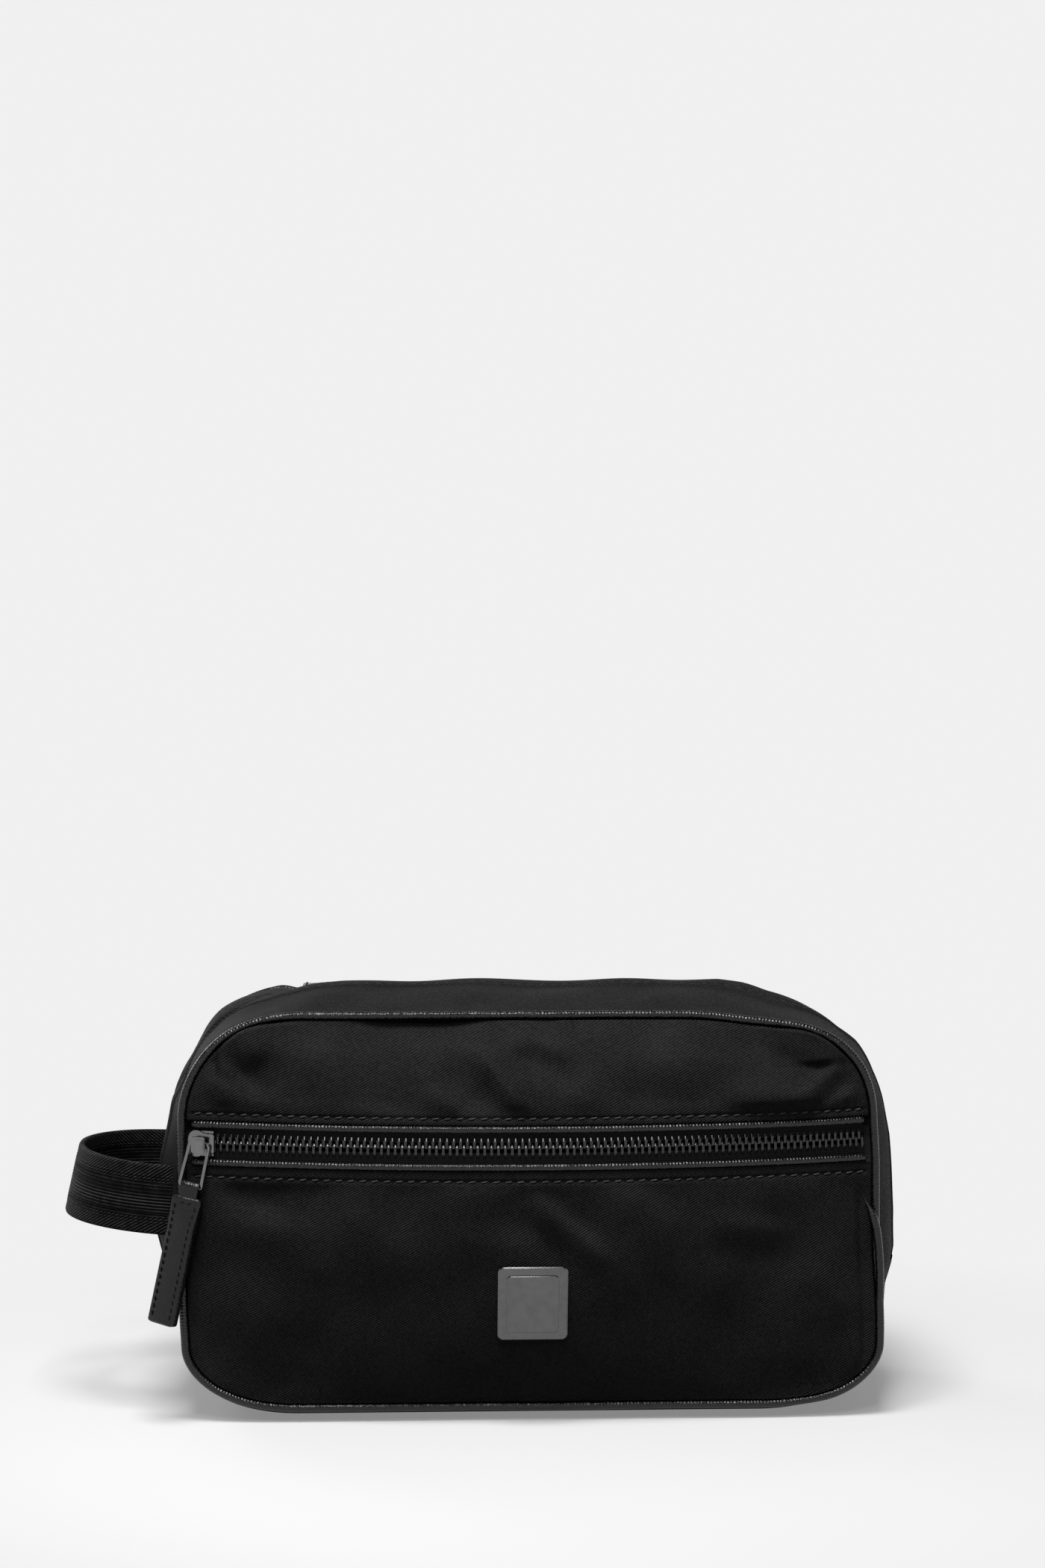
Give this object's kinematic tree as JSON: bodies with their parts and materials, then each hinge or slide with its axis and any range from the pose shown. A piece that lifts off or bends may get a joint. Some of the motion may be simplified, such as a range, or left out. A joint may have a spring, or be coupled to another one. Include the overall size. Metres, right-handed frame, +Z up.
{
  "type": "zipped wash bag",
  "caption": "Soft black nylon wash bag with piped edges, a zipped front pocket, a zipped top mouth and a webbing side loop.",
  "frame": {"origin": "centre of the base, on the surface that the bag stands on", "axes": "+Z up, -Y out of the front pocket, +X to the right seen from the front; the side loop is at -X"},
  "size_m": [0.3076, 0.1364, 0.1545],
  "materials": {
    "nylon": "black twill nylon, soft sheen",
    "leather": "fine grained black leather",
    "zip_tape": "black woven zip tape",
    "gunmetal": "polished dark gunmetal plating",
    "lining": "plain dark lining cloth",
    "webbing": "ribbed black webbing"
  },
  "bodies": {
    "bag": {"base_gusset": "nylon", "front_strip_left": "nylon", "front_strip_right": "nylon", "back_strip": "nylon", "front_panel_lower": "nylon", "front_panel_upper": "nylon", "back_panel": "nylon", "front_piping": "leather", "back_piping": "leather", "pocket_welt_lower": "leather", "pocket_welt_upper": "leather", "front_zip_tape_left": "zip_tape", "front_zip_tape_right": "zip_tape", "back_zip_tape": "zip_tape", "pocket_tape_lower": "zip_tape", "pocket_tape_upper": "zip_tape", "front_zip_row_left": "gunmetal", "front_zip_row_right": "gunmetal", "back_zip_row": "gunmetal", "pocket_row_lower": "gunmetal", "pocket_row_upper": "gunmetal", "front_plate": "gunmetal", "pocket_wall": "lining", "lining_back": "lining", "lining_band": "lining", "side_loop": "webbing"},
    "mouth_lip": {"mouth_flap": "nylon", "mouth_flap_tape": "zip_tape", "mouth_flap_row": "gunmetal"},
    "mouth_slider": {"mouth_slider": "gunmetal"},
    "mouth_stirrup": {"mouth_yoke": "gunmetal"},
    "mouth_tab": {"mouth_tab": "leather"},
    "pocket_slider": {"pocket_slider": "gunmetal"},
    "pocket_stirrup": {"pocket_yoke": "gunmetal"},
    "pocket_tab": {"pocket_tab": "leather"}
  },
  "joints": [
    {"name": "mouth_zip", "type": "slide", "parent": "bag", "child": "mouth_slider", "axis": [1, 0, 0], "range_m": [0, 0.1557]},
    {"name": "mouth_lip_turn", "type": "hinge", "parent": "bag", "child": "mouth_lip", "pos_m": [0, -0.0474, 0.146], "axis": [1, 0, 0], "range_deg": [0, 88]},
    {"name": "mouth_pull_swing", "type": "hinge", "parent": "mouth_slider", "child": "mouth_stirrup", "pos_m": [-0.07787, 0, 0.15095], "axis": [1, 0, 0], "range_deg": [0, 130]},
    {"name": "mouth_tab_swing", "type": "hinge", "parent": "mouth_stirrup", "child": "mouth_tab", "pos_m": [-0.07787, 0.01538, 0.15166], "axis": [1, 0, 0], "range_deg": [0, 60]},
    {"name": "pocket_zip", "type": "hinge", "parent": "bag", "child": "pocket_slider", "pos_m": [0, 0.33072, 0.101], "axis": [0, 0, 1], "range_deg": [0, 34.08]},
    {"name": "pocket_pull_swing", "type": "hinge", "parent": "pocket_slider", "child": "pocket_stirrup", "pos_m": [-0.11795, -0.05417, 0.101], "axis": [-0.9401, 0.2881, 0.1822], "range_deg": [0, 120]},
    {"name": "pocket_tab_swing", "type": "hinge", "parent": "pocket_stirrup", "child": "pocket_tab", "pos_m": [-0.12112, -0.05502, 0.08596], "axis": [-0.9401, 0.2881, 0.1822], "range_deg": [0, 60]}
  ],
  "couplings": [
    {"joint": "mouth_lip_turn", "follows": "mouth_zip", "rad_per_m": 9.86}
  ]
}
